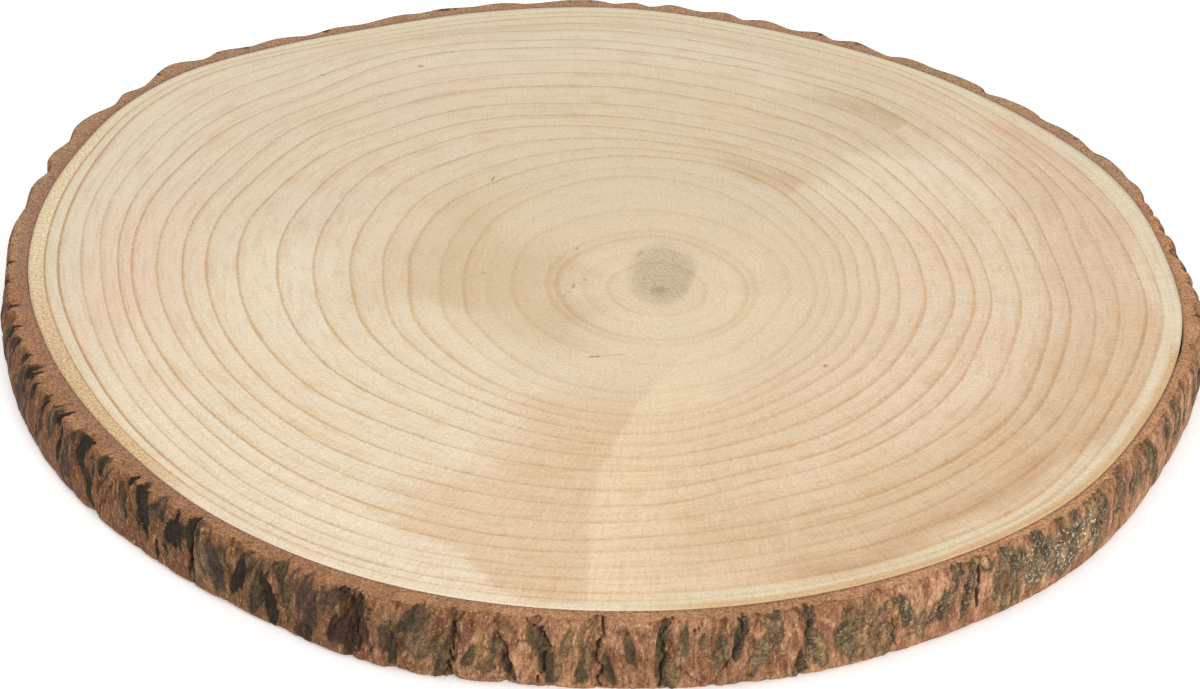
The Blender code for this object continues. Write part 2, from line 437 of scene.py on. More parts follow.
def ring_shares(turn):
    """Share of every ring in every direction: key rings as read, and the rest between them."""
    knots = {
        ring: around([(k * KEY_STEP, share) for k, share in enumerate(shares)], turn)
        for ring, shares in KEY_RINGS.items()
    }
    keys = sorted(knots)
    shares = []
    for ring in range(keys[-1] + 1):
        if ring in knots:
            shares.append(knots[ring])
            continue
        low = max(key for key in keys if key < ring)
        high = min(key for key in keys if key > ring)
        shares.append(knots[low] + (knots[high] - knots[low]) * BETWEEN[ring])
    return np.array(shares)


def share_radius(share, edge):
    """Radius in mm of a share: the first rings are round, and the later ones take the trunk's shape."""
    grown = 1 - np.exp(-share / ROUND_FADE)
    return share * (edge * grown + ROUND_RADIUS * (1 - grown))


def within(turn, start, stop, soft_start, soft_stop):
    """1 between two turns, fading over a few degrees at either side."""
    middle = (start + stop) / 2
    half = (stop - start) / 2
    away = (turn - middle + 180) % 360 - 180
    return smooth_step(-half - soft_start, -half, away) * smooth_step(half + soft_stop, half, away)


# Broad tints of the sawn face: turns from and to, how soft each side is in degrees, shares from
# and to, how soft each of those is, the tint and how much of it shows
TINTS = [
    (-180, 180, 1, 1, 0.0, 0.13, 0.01, 0.08, (225, 204, 169), 0.8),
    (-180, 180, 1, 1, 0.15, 0.38, 0.06, 0.14, (220, 198, 165), 0.75),
    (150, 206, 30, 22, 0.14, 0.42, 0.08, 0.10, (211, 187, 151), 0.85),
    (250, 345, 22, 20, 0.08, 0.26, 0.03, 0.08, (228, 208, 174), 0.7),
    (60, 130, 20, 25, 0.25, 0.75, 0.10, 0.10, (218, 199, 168), 0.8),
    (70, 165, 25, 20, 0.78, 1.0, 0.06, 0.01, (223, 208, 182), 0.85),
    (125, 170, 20, 12, 0.48, 0.84, 0.10, 0.08, (221, 203, 176), 0.8),
    (170, 214, 12, 14, 0.52, 0.68, 0.05, 0.06, (230, 214, 186), 0.9),
    (170, 205, 10, 14, 0.74, 0.90, 0.05, 0.04, (226, 202, 176), 0.8),
    (198, 240, 14, 14, 0.32, 1.0, 0.12, 0.01, (230, 212, 183), 0.85),
    (-55, 32, 22, 14, 0.36, 0.74, 0.10, 0.08, (226, 203, 173), 0.8),
    (-48, 34, 16, 14, 0.76, 0.95, 0.06, 0.02, (217, 190, 159), 0.8),
    (34, 50, 10, 5, 0.46, 0.74, 0.08, 0.05, (229, 212, 186), 0.8),
    (53, 62, 8, 14, 0.55, 0.90, 0.10, 0.06, (214, 193, 163), 0.6),
    (53.5, 60, 1.2, 14, 0.775, 0.825, 0.02, 0.02, (199, 173, 140), 0.75),
    (56, 66, 1.5, 22, 0.43, 0.50, 0.03, 0.03, (206, 181, 148), 0.75),
    (50, 112, 6, 16, 0.905, 0.945, 0.02, 0.015, (214, 194, 163), 0.6),
    (246, 300, 10, 16, 0.40, 0.95, 0.12, 0.03, (222, 195, 160), 0.8),
    (285, 345, 16, 18, 0.72, 0.955, 0.08, 0.02, (216, 186, 151), 0.8),
    (284, 318, 10, 16, 0.885, 0.935, 0.03, 0.015, (203, 168, 133), 0.8),
    (296, 335, 12, 14, 0.54, 0.68, 0.06, 0.06, (227, 202, 172), 0.7),
    (-180, 180, 1, 1, 0.962, 1.0, 0.012, 0.01, (225, 211, 182), 0.75),
    (276, 346, 12, 5, 0.984, 1.0, 0.006, 0.01, (206, 168, 120), 0.8),
]
CREAM = (226, 206, 177)

# The cream corner at the front left: the turn where it ends, at each share of the way out
CORNER_SHARES = [0.80, 0.845, 0.87, 0.89, 0.935, 0.967, 1.0]
CORNER_TURNS = [222.0, 235.0, 244.0, 249.0, 252.6, 255.0, 258.0]
CORNER_TINT = (232, 215, 188)
CORNER_PAST = (218, 190, 155)

# The pale stripe in front of the pith: the x of its hard left edge at each y, both in mm
STRIPE_Y = [-160.0, -147.0, -127.0, -109.5, -77.0, -52.0, -40.0]
STRIPE_X = [-0.4, 0.4, 0.7, 2.5, 12.9, 26.7, 32.0]
STRIPE_TINT = (231, 208, 172)
STRIPE_BESIDE = (219, 190, 154)


def face_tint(turn, share, x, y):
    """Colour of the sawn face without its fine lines: broad tints laid over the cream in turn."""
    wander = 3.0 * np.sin(share * 17 + 1.0) + 1.6 * np.sin(share * 41 + np.radians(turn) * 5)
    drift = 0.02 * np.sin(np.radians(turn) * 7 + 1) + 0.012 * np.sin(np.radians(turn) * 17)
    tint = np.broadcast_to(CREAM, turn.shape + (3,))
    for start, stop, soft_start, soft_stop, inner, outer, soft_in, soft_out, colour, amount in TINTS:
        mask = np.ones_like(share)
        drifted = share + drift * (inner < 0.9)
        if inner > 0:
            mask = mask * smooth_step(inner - soft_in, inner + soft_in, drifted)
        if outer < 1:
            mask = mask * smooth_step(outer + soft_out, outer - soft_out, drifted)
        if stop - start < 360:
            bent = turn + 0.12 * min(soft_start, soft_stop) * wander
            mask = mask * within(bent, start, stop, soft_start, soft_stop)
        tint = blended(tint, colour, mask * amount)
    past_edge = x - np.interp(y, STRIPE_Y, STRIPE_X) + 0.5 * np.sin(y * 0.45)
    front = smooth_step(-38, -75, y) * (share < 0.985)
    beside = front * smooth_step(1.0, -1.0, past_edge) * smooth_step(-42, -4, past_edge)
    beside = beside * smooth_step(-60, -100, y)
    stripe = front * smooth_step(-1.0, 1.0, past_edge) * smooth_step(30, 4, past_edge)
    tint = blended(tint, STRIPE_BESIDE, beside * 0.75)
    tint = blended(tint, STRIPE_TINT, stripe * 0.8)
    corner = np.interp(share, CORNER_SHARES, CORNER_TURNS) + 0.5 * np.sin(share * 130) + 0.2 * wander
    outer = smooth_step(0.82, 0.85, share + 0.008 * np.sin(np.radians(turn) * 60))
    before_corner = outer * smooth_step(0.9, -0.9, turn - corner) * (turn > 225)
    inside = outer * within(turn, 205, 225, 12, 12) + before_corner
    past = outer * smooth_step(-0.9, 0.9, turn - corner) * within(turn, 236, 258, 4, 4) * (share < 0.965)
    tint = blended(tint, CORNER_PAST, past * 0.6)
    return blended(tint, CORNER_TINT, np.clip(inside, 0, 1) * 0.85)


# How bold the ring lines are in each direction: (turn, share of full strength)
BOLDNESS = [
    (0, 0.8), (45, 0.85), (90, 0.85), (135, 0.85), (180, 1.05), (225, 1.0), (243, 0.75), (262, 0.55),
    (285, 0.6), (310, 0.85), (335, 0.85),
]

FACE_COLUMNS = 540
TOP_ROWS_PER_RING = 4
UNDER_ROWS_PER_RING = 2

# The unwrapped disc: the space kept free round it in mm, and the border's width as a part of it
UNWRAP_SPACE = 4.0
UNWRAP_BORDER = 0.012


def make_wood():
    """The disc. Its rows run out from the pith along the rings underneath, up the edge and back in
    along the top, so a row's place is its ring number: the radius is read between the two rings that
    it lies between."""
    turn = np.arange(FACE_COLUMNS) * 360 / FACE_COLUMNS
    edge = edge_from_pith(turn)
    shares = ring_shares(turn)
    radii = share_radius(shares, edge)
    rings = len(shares) - 1
    under = np.arange(1, rings * UNDER_ROWS_PER_RING + 1) / UNDER_ROWS_PER_RING
    top = np.arange(rings * TOP_ROWS_PER_RING, 0, -1) / TOP_ROWS_PER_RING
    age = np.concatenate([under, top])
    height = np.concatenate([np.zeros(len(under)), np.full(len(top), THICKNESS)])
    low = np.minimum(age.astype(int), rings - 1)
    part = (age - low)[:, None]
    radius = radii[low] * (1 - part) + radii[low + 1] * part
    share = shares[low] * (1 - part) + shares[low + 1] * part
    width = radii[low + 1] - radii[low]
    x = PITH[0] + radius * np.cos(np.radians(turn))
    y = PITH[1] + radius * np.sin(np.radians(turn))
    points = np.stack([x * MM, y * MM, np.broadcast_to(height[:, None], x.shape)], axis=-1)
    turns = np.broadcast_to(turn, x.shape)
    strength = np.array(RING_STRENGTH)
    strength = strength[low] * (1 - part[:, 0]) + strength[low + 1] * part[:, 0]
    angle = np.degrees(np.arctan2(y, x)) % 360
    fields = {
        "age": np.broadcast_to(age[:, None], x.shape),
        "ring_width": width,
        "strength": strength[:, None] * around(BOLDNESS, turn),
        "share": share,
        "softness": np.clip(smooth_step(0.7, 0.15, share) + 0.5 * within(turns, 268, 345, 15, 20), 0, 1),
        "torn": within(angle, 164, 222, 26, 12),
        "tint": light_of(face_tint(turns, share, x, y)),
    }
    reach = np.hypot(x, y).max() + UNWRAP_SPACE
    rim = len(under) - 1

    def corner_map(belt, column, up, along):
        """Seen from above, both faces in the same place, with the edge as a thin border round them."""
        rows = belt + up
        columns = (column + along) % FACE_COLUMNS
        spread = 1 + UNWRAP_BORDER * (belt == rim) * up
        return np.stack([0.5 + x[rows, columns] * spread / (2 * reach),
                         0.5 + y[rows, columns] * spread / (2 * reach)], axis=-1)

    piece = closed_skin("sawn_wood", points, fields, corner_map, poles=True)
    piece.data.materials.append(wood_finish())
    return piece


# Small marks on the face: x and y in mm, length and width in mm, direction, how dark
DASHES = [
    (13.0, -0.5, 3.4, 0.45, 62, 0.5), (-31.6, 43.2, 2.6, 0.6, 70, 0.7), (-5.4, 1.8, 1.5, 0.5, 90, 0.5),
    (-32.0, -12.8, 2.0, 0.9, -40, 0.4), (0.5, -56.0, 3.6, 0.8, 6, 0.6), (-6.0, -19.0, 2.6, 0.7, 80, 0.5),
    (-90.5, 111.0, 1.5, 0.8, 20, 0.6), (63.5, -58.5, 1.6, 0.9, 60, 0.7),
    (-58.8, 118.6, 1.5, 1.2, 0, 0.8), (-8.5, -24.5, 1.6, 0.8, 35, 0.5), (-2.5, -15.5, 1.2, 0.7, 10, 0.5),
    (-4.4, -17.6, 0.7, 0.6, 0, 0.5), (-7.4, -22.2, 0.7, 0.6, 0, 0.5), (5.8, -54.9, 6.0, 0.6, 8, 0.25),
]


def line_across(finish, x, y, mark):
    """A short dark stroke: 1 on its middle line, fading past half its length and half its width."""
    middle_x, middle_y, length, width, direction, amount = mark
    cos = math.cos(math.radians(direction))
    sin = math.sin(math.radians(direction))
    right = x - middle_x
    up = y - middle_y
    along = (right * cos + up * sin).unsigned()
    away = (up * cos - right * sin).unsigned()
    return finish.step(along, length / 2 + 0.3, length / 2 - 0.5) * finish.step(away, width, 0.0) * amount


# What the sawn face's colour is multiplied by: in tan bands, in pinkish clouds, on the ring lines
# and in the grey stain
BAND_FILTER = (0.90, 0.82, 0.73)
PINK_FILTER = (0.975, 0.93, 0.90)
LINE_FILTER = (0.79, 0.65, 0.50)
STAIN_FILTER = (0.68, 0.65, 0.65)

# Screen colours of the pith, its specks, the small marks and the torn rim, which is pale or dark and
# turns browner towards the front
PITH_BROWN = (142, 122, 98)
SPECK_BROWN = (120, 98, 78)
MARK_BROWN = (146, 100, 60)
RIM_PALE = (242, 224, 188)
RIM_PALE_NEAR = (228, 196, 146)
RIM_DARK = (216, 178, 130)
RIM_DARK_NEAR = (190, 148, 100)
RIM_LINE = (178, 128, 86)

# The middle of the grey stain, in mm
STAIN_MIDDLE = (21.5, -12.0)

# The dark lines on either side of the torn ring: (ring number, how dark)
TORN_LINES = [(24.0, 0.75), (23.0, 0.55)]


def ring_lines(finish, place, ray_place, age, fine):
    """How dark the ring lines are, from the distances to the rings inside and outside. A line is crisp
    outwards with a soft halo inwards. The second result is how much of it the rays leave."""
    width = finish.attribute("ring_width")
    softness = finish.attribute("softness")
    wobble = finish.noise(place, 0.09, 5.0, 0.7) - 0.5
    part = (age + wobble * 0.09).fraction()
    inside = (1.0 - part) * width + fine * 1.1
    outside = part * width + fine * 0.8
    line_width = 0.9 + softness * 1.0
    crisp = finish.step(inside / line_width, 1.0, 0.1).largest(finish.step(outside / line_width, 0.4, 0.0))
    halo = finish.step(inside / (line_width * 4.0), 1.0, 0.0)
    left = 0.1 + finish.noise(ray_place, 0.45, 3.0, 0.7) * 1.8
    strength = finish.attribute("strength") * left * (1.0 - softness * 0.25)
    return (crisp * 0.9 + halo * (softness * 0.2 + 0.22)) * strength, left


def grey_stain(finish, place, x, y, colour):
    """The grey stain above the pith, with its hard right side, and the dark pith itself."""
    stain_x = x - STAIN_MIDDLE[0]
    stain_y = y - STAIN_MIDDLE[1]
    out_x = x - PITH[0]
    out_y = y - PITH[1]
    ragged = (finish.noise(place, 0.22, 3.0, 0.6) - 0.5) * 7.0
    oval = ((stain_x + 1.5) * (stain_x + 1.5) / 130 + stain_y * stain_y / 400) ** 0.5
    right_side = finish.step(stain_x - stain_y * 0.22 + ragged * 0.15, 8.2, 6.6)
    lower_side = finish.step(stain_y - stain_x * 0.9 + ragged * 0.2, -20.0, -12.0)
    freckles = 0.2 + finish.step(finish.noise(place, 1.3, 4.0, 0.9), 0.34, 0.66) * 1.2
    stain = finish.step(oval + ragged * 0.05, 1.1, 0.55) * right_side * lower_side * freckles
    core = finish.step((out_x * out_x + out_y * out_y * 1.3) ** 0.5 + ragged * 0.3, 3.6, 0.8)
    specks = finish.step(finish.noise(place, 1.6, 1.0, 0.5), 0.62, 0.70) * stain.largest(core)
    colour = finish.filtered(stain * 0.85, colour, STAIN_FILTER)
    colour = finish.mixed(core * freckles * 0.55, colour, paint(PITH_BROWN))
    return finish.mixed(specks * 0.5, colour, paint(SPECK_BROWN))


def small_marks(finish, place, x, y, fine):
    """Open pores torn by the saw, as short dark dashes that gather in a few places, and the marks that
    have a place of their own."""
    gather = finish.step(finish.noise(place, 0.045, 2.0, 0.5), 0.54, 0.68)
    drawn_out = finish.noise(finish.scaled(place, 0.55, 1.6, 1.0), 1.5, 1.0, 0.5)
    marks = finish.step(drawn_out, 0.71, 0.79) * gather * 0.5
    for mark in DASHES:
        marks = marks.largest(line_across(finish, x + fine * 1.6, y + fine * 1.6, mark))
    return marks


def torn_rim(finish, place, y, age, fine, left, colour):
    """The last ring at the left, tanned and torn by the saw, and the dark lines on either side of it.
    The second result is how deep the tears are."""
    torn = finish.attribute("torn")
    rim = finish.step(age + fine * 0.1, 24.0, 24.12) * torn
    tears = finish.step(finish.noise(place, 1.3, 3.0, 0.8), 0.46, 0.62)
    near = finish.step(y, 10, -70)
    pale = finish.mixed(near, paint(RIM_PALE), paint(RIM_PALE_NEAR))
    dark = finish.mixed(near, paint(RIM_DARK), paint(RIM_DARK_NEAR))
    colour = finish.mixed(rim * 0.9, colour, finish.mixed(tears, pale, dark))
    frayed = age + fine * 0.12
    for ring, amount in TORN_LINES:
        line = finish.step(frayed, ring - 0.11, ring - 0.02) * finish.step(frayed, ring + 0.09, ring + 0.01)
        colour = finish.mixed(line * left.smallest(1.0) * torn * amount, colour, paint(RIM_LINE))
    return colour, rim * tears


def wood_finish():
    """Sawn wood: broad tints with rays stretched along the radius and streaks stretched along the
    rings, and over them the ring lines, the grey stain, the small marks and the torn rim."""
    finish = Finish("sawn wood")
    place = finish.scaled(finish.place(), 1000, 1000, 0)
    x, y, _ = finish.parts(place)
    out_x = x - PITH[0]
    out_y = y - PITH[1]
    radius = (out_x * out_x + out_y * out_y) ** 0.5
    safe = radius.largest(0.5)
    age = finish.attribute("age")
    share = finish.attribute("share")
    ray_place = finish.vector(out_x / safe * 150, out_y / safe * 150, radius * 0.16)
    wide_ray_place = finish.vector(out_x / safe * 46, out_y / safe * 46, radius * 0.05)
    ring_place = finish.vector(out_x / safe * 9, out_y / safe * 9, age * 4.5)

    fine = finish.noise(place, 1.1, 3.0, 0.7) - 0.5
    rays = finish.noise(ray_place, 1.0, 3.0, 0.6) - 0.5
    wide_rays = finish.noise(wide_ray_place, 1.0, 3.0, 0.6) - 0.5
    streaks = finish.noise(ring_place, 1.0, 5.0, 0.62) - 0.5
    grain = finish.noise(place, 1.2, 2.0, 0.8) - 0.5
    cloud = finish.noise(place, 0.035, 3.0, 0.55) - 0.5
    blotch = finish.noise(finish.scaled(ray_place, 0.3, 0.3, 0.5), 1.0, 2.0, 0.5) - 0.5

    rayed = finish.step(share, 0.1, 0.6) * (0.25 + finish.step(x * 0.6 - y, -20, 60) * 0.75)
    tone = 1.0 + rays * rayed * 0.30 + wide_rays * 0.05 + grain * 0.65 + cloud * 0.10 + blotch * rayed * 0.06
    colour = finish.toned(finish.colour_attribute("tint"), tone)
    band = finish.step(streaks, -0.04, 0.16) * (0.3 + finish.step(share, 0.3, 0.6) * 0.4)
    colour = finish.filtered(band, colour, BAND_FILTER)
    pink = finish.step(cloud, 0.02, 0.14) * finish.step(share, 0.35, 0.6) * 0.6
    colour = finish.filtered(pink, colour, PINK_FILTER)
    line, left = ring_lines(finish, place, ray_place, age, fine)
    colour = finish.filtered(line, colour, LINE_FILTER)
    colour = grey_stain(finish, place, x, y, colour)
    marks = small_marks(finish, place, x, y, fine)
    colour = finish.mixed(marks, colour, paint(MARK_BROWN))
    colour, tears = torn_rim(finish, place, y, age, fine, left, colour)

    relief = rays * 0.6 + grain * 1.0 - line * 0.3 - marks * 1.2 - tears
    return finish.wear(
        Base_Color=colour,
        Roughness=0.58 + grain * 0.12 + line * 0.05,
        Normal=finish.bump(relief, 0.00025, 0.6),
        Specular_IOR_Level=0.35,
    )


# Old bark on the side that shows: angle, half width and height of its middle in mm, half height in
# mm, lean in mm across for each mm up, and its tone (0 smooth purple-brown, 0.2 hollow of dark red
# brown, 0.4 grey-brown plate, 0.6 olive-brown, 0.8 dark olive, 1 black hollow)
PLATES = [
    (187.4, 1.6, 17.0, 3.4, 0.0, 1.0), (189.6, 1.2, 12.5, 7.0, 0.2, 0.8),
    (191.6, 1.0, 13.5, 6.0, 0.2, 1.0), (194.0, 1.4, 11.5, 7.0, 0.3, 0.6),
    (195.8, 1.9, 17.2, 3.2, 0.1, 1.0), (197.2, 1.4, 9.5, 6.0, 0.35, 0.8),
    (201.0, 2.0, 18.5, 1.5, 0.0, 0.8), (206.4, 1.5, 18.4, 1.7, 0.0, 1.0),
    (216.0, 2.0, 18.9, 1.3, 0.0, 0.8), (219.4, 1.7, 15.0, 3.6, 0.0, 0.8),
    (220.8, 1.6, 18.6, 1.5, 0.0, 0.8), (197.6, 2.4, 16.6, 2.4, 0.3, 0.2),
    (202.3, 2.8, 12.0, 7.5, 0.35, 0.0), (203.8, 1.2, 8.0, 6.0, 0.35, 0.8),
    (200.6, 1.4, 9.0, 4.0, 0.3, 0.8), (204.2, 1.8, 19.0, 1.8, 0.0, 1.0),
    (206.3, 1.8, 16.8, 2.6, 0.1, 0.8), (208.9, 1.5, 14.5, 4.8, 0.15, 0.8),
    (207.6, 1.6, 7.0, 4.5, 0.3, 0.2), (211.2, 2.2, 16.2, 4.4, 0.05, 0.4),
    (213.2, 1.4, 12.5, 6.4, 0.2, 1.0), (212.6, 1.2, 18.8, 1.8, 0.0, 1.0),
    (214.9, 2.7, 12.0, 8.4, 0.25, 0.0), (217.6, 3.4, 16.4, 4.6, -0.2, 1.0),
    (218.6, 3.0, 12.6, 3.6, 0.0, 0.2), (218.9, 1.6, 8.5, 4.2, -0.2, 1.0),
    (221.2, 2.2, 17.2, 1.8, 0.0, 0.8), (224.4, 2.3, 13.5, 6.8, 0.0, 0.4),
    (225.0, 1.0, 19.0, 1.6, 0.3, 1.0), (227.3, 2.5, 14.0, 7.4, -0.15, 1.0),
    (229.8, 2.8, 16.3, 3.2, 0.0, 0.4), (231.5, 4.2, 13.2, 5.4, 0.5, 1.0),
    (229.2, 1.0, 6.5, 3.6, 0.1, 1.0), (233.7, 1.5, 13.0, 9.0, 0.0, 1.0),
    (236.0, 6.2, 11.6, 8.2, 0.0, 0.4), (236.6, 3.4, 9.4, 4.6, 0.2, 0.8),
    (239.3, 2.4, 10.5, 6.6, 0.35, 1.0), (241.0, 3.0, 15.0, 5.4, 0.2, 0.8),
    (242.6, 2.6, 10.0, 8.4, -0.2, 1.0), (241.2, 2.6, 7.5, 5.6, 0.3, 0.8),
    (244.2, 2.6, 14.5, 6.0, -0.2, 0.6), (246.6, 4.2, 12.6, 8.6, 0.0, 0.0),
    (246.0, 3.0, 4.0, 3.8, 0.3, 0.2), (248.8, 2.6, 17.0, 3.2, 0.0, 0.0),
    (251.2, 4.2, 12.4, 8.6, -0.1, 0.2), (249.2, 2.4, 8.6, 5.0, 0.3, 0.2),
    (253.9, 3.0, 10.2, 7.4, 0.0, 0.8), (256.5, 3.2, 12.0, 9.0, 0.0, 0.5),
    (258.3, 2.2, 8.6, 6.6, 0.0, 0.6), (259.4, 1.0, 12.0, 7.6, 0.0, 0.8),
    (260.7, 1.5, 8.2, 4.2, 0.2, 0.8), (262.3, 2.8, 10.8, 4.8, 0.3, 0.6),
    (264.0, 1.0, 5.0, 4.0, -0.4, 0.8), (266.5, 1.9, 11.0, 8.2, -0.3, 0.8),
    (268.0, 0.9, 9.5, 6.6, 0.25, 0.6), (270.1, 2.0, 10.0, 7.4, 0.1, 0.6),
    (271.8, 1.6, 7.0, 5.4, -0.2, 0.8), (273.4, 1.4, 12.8, 6.6, -0.15, 0.8),
    (275.9, 1.3, 12.0, 6.4, 0.1, 0.8), (277.7, 1.4, 13.4, 4.2, 0.0, 0.8),
    (276.7, 2.2, 5.0, 3.8, 0.0, 0.7), (279.1, 0.7, 14.6, 2.0, 0.1, 0.6),
    (280.7, 1.6, 11.5, 5.2, 0.1, 0.6), (282.1, 1.2, 14.6, 5.6, 0.2, 0.9),
    (280.4, 0.9, 5.0, 3.6, 0.2, 0.6), (284.8, 1.8, 16.2, 3.8, 0.0, 0.6),
    (283.7, 2.2, 8.2, 7.0, 0.25, 0.5), (288.0, 1.6, 13.0, 7.0, -0.1, 0.8),
    (287.4, 1.9, 3.4, 2.8, 0.4, 0.8), (288.9, 1.4, 8.0, 5.0, -0.2, 0.6),
    (291.8, 3.7, 11.0, 8.2, -0.05, 0.75), (294.7, 1.9, 16.2, 1.8, 0.4, 0.8),
    (294.4, 3.3, 6.0, 5.2, 0.2, 0.75), (296.6, 1.8, 10.6, 5.4, -0.3, 0.8),
    (297.8, 0.9, 7.0, 3.8, 0.1, 0.6), (300.4, 2.4, 12.6, 7.2, 0.5, 0.75),
    (302.3, 1.2, 11.0, 8.0, 0.15, 0.8), (303.8, 2.4, 18.0, 1.9, 0.0, 0.75),
    (305.6, 1.4, 13.0, 7.0, 0.2, 0.7), (307.4, 2.8, 11.0, 8.2, 0.1, 0.7),
    (310.4, 4.8, 12.4, 6.8, 0.1, 0.7), (313.4, 5.2, 12.0, 7.4, -0.1, 0.75),
    (316.8, 4.8, 13.0, 6.0, 0.1, 0.6), (319.0, 3.0, 10.6, 8.0, 0.25, 0.55),
    (321.9, 2.6, 15.2, 5.0, -0.1, 0.65), (325.2, 3.2, 14.0, 5.6, -0.2, 0.6),
    (328.0, 2.4, 15.0, 4.6, -0.3, 0.75), (329.4, 3.0, 9.0, 4.6, -0.3, 0.7),
    (332.8, 2.2, 14.0, 4.0, -0.2, 0.8), (335.4, 2.2, 12.0, 5.4, -0.2, 0.5),
    (338.2, 1.6, 12.0, 6.0, -0.2, 0.3),
]

# Cracks on the side that shows: angle at the top end and at the bottom end, height of the top end
# and of the bottom end in mm, width in mm and depth in mm
CRACKS = [
    (209.4, 208.2, 20.0, 13.0, 0.4, 1.0), (222.8, 221.6, 15.0, 8.0, 0.35, 1.1),
    (221.6, 219.5, 8.0, 0.0, 0.35, 1.1), (216.6, 215.6, 12.4, 10.6, 0.4, 0.9),
    (228.6, 228.8, 7.0, 0.5, 0.3, 0.7), (233.9, 233.6, 20.0, 3.0, 0.4, 1.3),
    (238.9, 238.6, 18.5, 16.0, 0.3, 0.7), (243.0, 243.8, 20.0, 15.0, 0.3, 0.7),
    (249.2, 250.6, 20.0, 17.0, 0.3, 1.0), (250.6, 249.2, 17.0, 8.0, 0.3, 0.9),
    (251.6, 251.3, 14.0, 5.0, 0.35, 0.9), (255.2, 255.7, 8.0, 1.0, 0.3, 0.8),
    (260.0, 259.2, 20.0, 15.0, 0.35, 1.0), (259.2, 259.5, 15.0, 9.0, 0.35, 1.1),
    (259.5, 258.8, 9.0, 0.0, 0.35, 1.2), (262.8, 263.6, 16.0, 10.5, 0.3, 0.9),
    (263.6, 264.4, 10.5, 0.5, 0.3, 0.9), (263.6, 262.4, 9.0, 4.0, 0.25, 0.6),
    (265.2, 265.9, 20.0, 18.0, 0.3, 1.0), (265.9, 267.1, 18.0, 12.0, 0.35, 1.1),
    (267.1, 266.3, 12.0, 2.0, 0.35, 1.1), (270.8, 270.9, 20.0, 12.0, 0.35, 1.2),
    (270.9, 271.1, 12.0, 0.5, 0.35, 1.1), (276.7, 275.9, 20.0, 16.0, 0.3, 1.0),
    (275.9, 276.0, 16.0, 9.0, 0.3, 1.0), (276.0, 275.7, 9.0, 0.0, 0.35, 1.1),
    (279.0, 278.3, 19.5, 17.0, 0.35, 0.9), (277.6, 279.0, 8.0, 1.5, 0.3, 0.8),
    (277.4, 276.4, 10.0, 8.4, 0.3, 0.8), (282.4, 281.6, 20.0, 10.0, 0.35, 1.0),
    (281.6, 280.4, 10.0, 1.0, 0.3, 0.7), (288.2, 287.6, 20.0, 10.0, 0.35, 1.0),
    (287.3, 286.9, 9.0, 3.0, 0.3, 0.7), (295.3, 293.2, 12.0, 6.0, 0.35, 0.8),
    (295.0, 295.8, 11.0, 2.0, 0.35, 0.9), (302.0, 302.8, 15.0, 8.0, 0.35, 0.8),
    (303.7, 303.3, 18.0, 12.0, 0.45, 1.4), (303.3, 303.3, 12.0, 6.0, 0.45, 1.4),
    (307.2, 307.4, 8.0, 1.0, 0.35, 0.7), (319.4, 318.6, 17.0, 9.0, 0.35, 0.8),
    (321.0, 320.4, 17.0, 6.0, 0.35, 0.8), (326.2, 327.6, 18.0, 9.0, 0.4, 0.9),
    (328.6, 330.2, 17.0, 10.0, 0.4, 0.9),
]

# The stretch of bark whose wall the photograph shows, in degrees, and the wall's length in mm for
# each degree
SHOWN_FROM = 187.0
SHOWN_TO = 340.0
MM_PER_DEGREE = 2.98

# How red and pale the bark's ground colour is, from dark brown at 0 to salmon at 1, and the width in
# mm of the purple-brown band of inner bark: (degrees, value)
WARMTH = [
    (0, 0.75), (40, 0.5), (90, 0.35), (140, 0.3), (190, 0.25), (215, 0.15), (235, 0.05), (250, 0.05),
    (262, 0.50), (285, 0.62), (300, 0.88), (320, 0.95), (340, 0.85),
]
INNER_BAND = [
    (0, 1.1), (40, 0.9), (90, 1.0), (150, 1.6), (180, 3.0), (210, 3.4), (225, 2.4), (240, 1.2),
    (260, 1.0), (285, 0.9), (310, 0.8), (335, 0.9),
]

# How far the bark's top edge stands out from the wood on the far side, where it draws the outline:
# (degrees, mm) at each crest and each notch
FAR_RIM = [
    (10, 4.1), (12, 3.6), (15, 5.4), (16.5, 4.5), (19, 5.1), (22, 5.0), (23, 4.1), (26, 5.1), (29, 5.4),
    (32, 4.4), (33.2, 5.2), (38, 4.5), (40, 3.1), (41.2, 4.6), (44, 5.4), (48, 4.7), (51, 5.3),
    (52.4, 4.7), (53.8, 2.8), (55.5, 3.6), (59, 5.7), (61, 3.3), (63.5, 5.7), (66, 3.4), (70.5, 5.9),
    (73, 3.8), (74.6, 6.1), (78.5, 4.2), (82, 5.8), (84, 3.0), (86, 4.9), (88.2, 3.2), (90.5, 5.2),
    (93.5, 5.4), (98.5, 3.8), (101.5, 5.6), (105, 4.6), (109, 5.6), (111, 4.9), (113.5, 5.7),
    (118.5, 3.9), (121.5, 4.7), (125, 3.1), (128, 5.1), (132, 4.4), (135, 6.1), (137, 4.0), (140, 7.2),
    (146.5, 3.2), (148, 4.8), (150.3, 3.1), (154, 6.2), (156.2, 7.0), (159, 5.0), (163, 6.5), (165, 4.0),
    (168.5, 5.7), (172, 4.6), (177, 5.8), (184, 5.4), (190, 6.0),
]

# How pale the old bark is, as a share of its usual colour: (degrees, share)
PLATE_LIGHT = [
    (0, 1.1), (60, 1.0), (180, 0.9), (205, 0.82), (235, 0.88), (250, 0.8), (262, 1.05), (285, 1.2),
    (300, 1.25), (312, 1.42), (322, 1.22), (335, 1.2),
]

# How much further in the wall's top edge stands than its middle, in mm: (degrees, mm)
TOP_SLOPE = [
    (0, 0.3), (60, 0.2), (150, 0.3), (180, 0.5), (190, 1.3), (202, 1.5), (213, 1.2), (226, 0.5),
    (240, 0.2), (260, 0.3), (290, 0.1), (320, 0.2), (340, 0.5),
]

# Columns round the ring, and how many more of them there are for each one on the side that shows
BARK_COLUMNS = 2240
BARK_CROWDING = 1.5
BARK_SEED = 23

